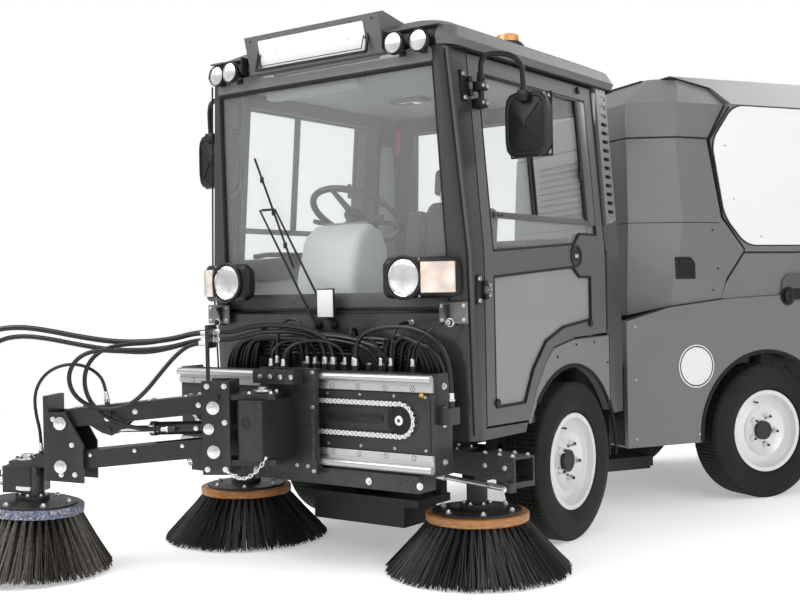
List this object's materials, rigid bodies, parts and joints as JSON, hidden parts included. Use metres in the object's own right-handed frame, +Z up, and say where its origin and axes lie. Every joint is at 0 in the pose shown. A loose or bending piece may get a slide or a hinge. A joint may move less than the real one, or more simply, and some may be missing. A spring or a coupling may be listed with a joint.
{
  "type": "compact road sweeper",
  "caption": "Compact articulated road sweeper with a glazed cab, two side brooms, a third broom on a sliding boom and a tipping hopper.",
  "frame": {"origin": "on the ground, midway between the extremes in X and in Y of the parked sweeper", "axes": "+X to the front module's left, +Y to the front module's rear, +Z up; the rear module stands turned 30.5 degrees about the steering pivot"},
  "size_m": [2.7174, 4.816, 2.05],
  "materials": {
    "tyre_rubber": "matt",
    "rim_silver": "satin",
    "chassis_black": "satin",
    "body_grey": "gloss",
    "panel_white": "gloss",
    "frame_dark": "satin",
    "glass": "gloss",
    "trim_black": "matt",
    "seat_fabric": "matt",
    "lens_clear": "gloss",
    "lens_red": "gloss",
    "plate_white": "satin",
    "broom_ring": "matt",
    "chain_steel": "satin",
    "engine_grey": "matt",
    "hopper_grey": "satin"
  },
  "bodies": {
    "front_module": {"front_chassis": "chassis_black", "cab_tub": "trim_black", "cab_frame": "trim_black", "door_hinges": "trim_black", "cab_glass": "glass", "cab_roof": "body_grey", "number_plate": "plate_white", "front_fenders": "body_grey", "driver_seat": "seat_fabric", "steering_console": "trim_black", "lamp_housings": "trim_black", "lamp_lenses": "lens_clear", "wipers": "trim_black", "slide_frame": "frame_dark", "slide_rails": "chain_steel", "drive_chain": "chain_steel", "suction_mouth": "chassis_black", "cab_vents": "body_grey", "frame_hoses": "trim_black"},
    "rear_module": {"rear_chassis": "chassis_black", "engine": "engine_grey", "rear_cowl": "body_grey", "rear_skirts": "body_grey", "hopper_sill": "body_grey", "tail_lamps": "lens_red"},
    "wheel_front_left": {"tyre_front_left": "tyre_rubber", "rim_front_left": "rim_silver"},
    "wheel_front_right": {"tyre_front_right": "tyre_rubber", "rim_front_right": "rim_silver"},
    "wheel_rear_left": {"tyre_rear_left": "tyre_rubber", "rim_rear_left": "rim_silver"},
    "wheel_rear_right": {"tyre_rear_right": "tyre_rubber", "rim_rear_right": "rim_silver"},
    "door_body_left": {"door_left": "trim_black", "door_glass_left": "glass", "mirror_left": "trim_black"},
    "arm_left": {"broom_arm_left": "frame_dark"},
    "motor_left": {"broom_motor_left": "chassis_black"},
    "broom_left": {"side_broom_left": "broom_ring"},
    "door_body_right": {"door_right": "trim_black", "door_glass_right": "glass", "mirror_right": "trim_black"},
    "arm_right": {"broom_arm_right": "frame_dark"},
    "motor_right": {"broom_motor_right": "chassis_black"},
    "broom_right": {"side_broom_right": "broom_ring"},
    "carriage": {"slide_carriage": "frame_dark", "carriage_hoses": "trim_black"},
    "bracket": {"swing_bracket": "frame_dark"},
    "link_upper": {"upper_link": "frame_dark", "boom_hoses": "trim_black"},
    "link_lower": {"lower_link": "frame_dark"},
    "head": {"boom_head": "frame_dark"},
    "lift_barrel": {"lift_cylinder_barrel": "frame_dark"},
    "lift_rod": {"lift_cylinder_rod": "chain_steel"},
    "broom_third": {"third_broom": "broom_ring"},
    "hopper_body": {"hopper": "hopper_grey", "hopper_panels": "panel_white"},
    "tail_flap": {"tail_door": "hopper_grey"},
    "tip_barrels": {"tip_cylinder_barrels": "frame_dark"},
    "tip_rods": {"tip_cylinder_rods": "chain_steel"}
  },
  "joints": [
    {"name": "articulation", "type": "hinge", "parent": "front_module", "child": "rear_module", "pos_m": [-0.217, 0.326, 0.48], "axis": [0, 0, 1], "range_deg": [-9.5, 70.5]},
    {"name": "spin_front_left", "type": "hinge", "parent": "front_module", "child": "wheel_front_left", "pos_m": [0.349, -0.579, 0.32], "axis": [1, 0, 0], "continuous": true},
    {"name": "spin_front_right", "type": "hinge", "parent": "front_module", "child": "wheel_front_right", "pos_m": [-0.783, -0.579, 0.32], "axis": [1, 0, 0], "continuous": true},
    {"name": "spin_rear_left", "type": "hinge", "parent": "rear_module", "child": "wheel_rear_left", "pos_m": [0.70513, 0.77629, 0.32], "axis": [0.8616, -0.5075, 0], "continuous": true},
    {"name": "spin_rear_right", "type": "hinge", "parent": "rear_module", "child": "wheel_rear_right", "pos_m": [-0.27023, 1.35082, 0.32], "axis": [0.8616, -0.5075, 0], "continuous": true},
    {"name": "door_swing_left", "type": "hinge", "parent": "front_module", "child": "door_body_left", "pos_m": [0.435, -1.243, 1.017], "axis": [0.0688, 0, -0.9976], "range_deg": [0, 70]},
    {"name": "arm_swing_left", "type": "hinge", "parent": "front_module", "child": "arm_left", "pos_m": [0.167, -1.158, 0.39], "axis": [0, 0, 1], "range_deg": [-8, 12]},
    {"name": "broom_lift_left", "type": "slide", "parent": "arm_left", "child": "motor_left", "axis": [0, 0, 1], "range_m": [0, 0.065]},
    {"name": "broom_spin_left", "type": "hinge", "parent": "motor_left", "child": "broom_left", "pos_m": [0.36, -1.21, 0.247], "axis": [0, 0, 1], "continuous": true},
    {"name": "door_swing_right", "type": "hinge", "parent": "front_module", "child": "door_body_right", "pos_m": [-0.869, -1.243, 1.017], "axis": [0.0688, 0, 0.9976], "range_deg": [0, 70]},
    {"name": "arm_swing_right", "type": "hinge", "parent": "front_module", "child": "arm_right", "pos_m": [-0.601, -1.158, 0.39], "axis": [0, 0, -1], "range_deg": [-8, 12]},
    {"name": "broom_lift_right", "type": "slide", "parent": "arm_right", "child": "motor_right", "axis": [0, 0, 1], "range_m": [0, 0.065]},
    {"name": "broom_spin_right", "type": "hinge", "parent": "motor_right", "child": "broom_right", "pos_m": [-0.794, -1.21, 0.247], "axis": [0, 0, 1], "continuous": true},
    {"name": "carriage_slide", "type": "slide", "parent": "front_module", "child": "carriage", "axis": [1, 0, 0], "range_m": [-0.45, 0.45], "deforming": ["carriage_hoses"]},
    {"name": "boom_swing", "type": "hinge", "parent": "carriage", "child": "bracket", "pos_m": [-0.258, -1.669, 0.53], "axis": [0, 0, 1], "range_deg": [-8, 130], "deforming": ["carriage_hoses", "boom_hoses"]},
    {"name": "boom_lift", "type": "hinge", "parent": "bracket", "child": "link_upper", "pos_m": [-0.40375, -1.74846, 0.613], "axis": [-0.4787, 0.878, 0], "range_deg": [0, 35], "deforming": ["boom_hoses"]},
    {"name": "lower_link_turn", "type": "hinge", "parent": "bracket", "child": "link_lower", "pos_m": [-0.40375, -1.74846, 0.455], "axis": [-0.4787, 0.878, 0], "range_deg": [0, 35], "deforming": ["boom_hoses"]},
    {"name": "head_level", "type": "hinge", "parent": "link_upper", "child": "head", "pos_m": [-0.91122, -2.02515, 0.559], "axis": [-0.4787, 0.878, 0], "range_deg": [-35, 0], "deforming": ["boom_hoses"]},
    {"name": "lift_cylinder_turn", "type": "hinge", "parent": "bracket", "child": "lift_barrel", "pos_m": [-0.41867, -1.7566, 0.537], "axis": [-0.4787, 0.878, 0], "range_deg": [0, 35.4], "deforming": ["boom_hoses"]},
    {"name": "lift_cylinder_stroke", "type": "slide", "parent": "lift_barrel", "child": "lift_rod", "axis": [-0.8778, -0.4786, -0.0206], "range_m": [0, 0.0487], "deforming": ["boom_hoses"]},
    {"name": "broom_spin_third", "type": "hinge", "parent": "head", "child": "broom_third", "pos_m": [-1.03788, -2.0942, 0.26342], "axis": [0.0612, 0.0334, 0.9976], "continuous": true, "deforming": ["boom_hoses"]},
    {"name": "hopper_tip", "type": "hinge", "parent": "rear_module", "child": "hopper_body", "pos_m": [0.78031, 2.0191, 0.68], "axis": [-0.8616, 0.5075, 0], "range_deg": [0, 40]},
    {"name": "tail_door_swing", "type": "hinge", "parent": "hopper_body", "child": "tail_flap", "pos_m": [0.81736, 2.082, 1.876], "axis": [0.8616, -0.5075, 0], "range_deg": [0, 95]},
    {"name": "tip_cylinder_turn", "type": "hinge", "parent": "rear_module", "child": "tip_barrels", "pos_m": [0.54431, 1.61844, 0.505], "axis": [-0.8616, 0.5075, 0], "range_deg": [0, 24.8]},
    {"name": "tip_cylinder_stroke", "type": "slide", "parent": "tip_barrels", "child": "tip_rods", "axis": [0.0517, 0.0877, 0.9948], "range_m": [0, 0.2783]}
  ],
  "couplings": [
    {"joint": "lower_link_turn", "follows": "boom_lift", "ratio": 1},
    {"joint": "head_level", "follows": "boom_lift", "ratio": -1},
    {"joint": "lift_cylinder_turn", "follows": "boom_lift", "ratio": 0.99849},
    {"joint": "lift_cylinder_stroke", "follows": "boom_lift", "m_per_rad": 0.076529},
    {"joint": "tip_cylinder_turn", "follows": "hopper_tip", "ratio": 0.60874},
    {"joint": "tip_cylinder_stroke", "follows": "hopper_tip", "m_per_rad": 0.3957}
  ]
}
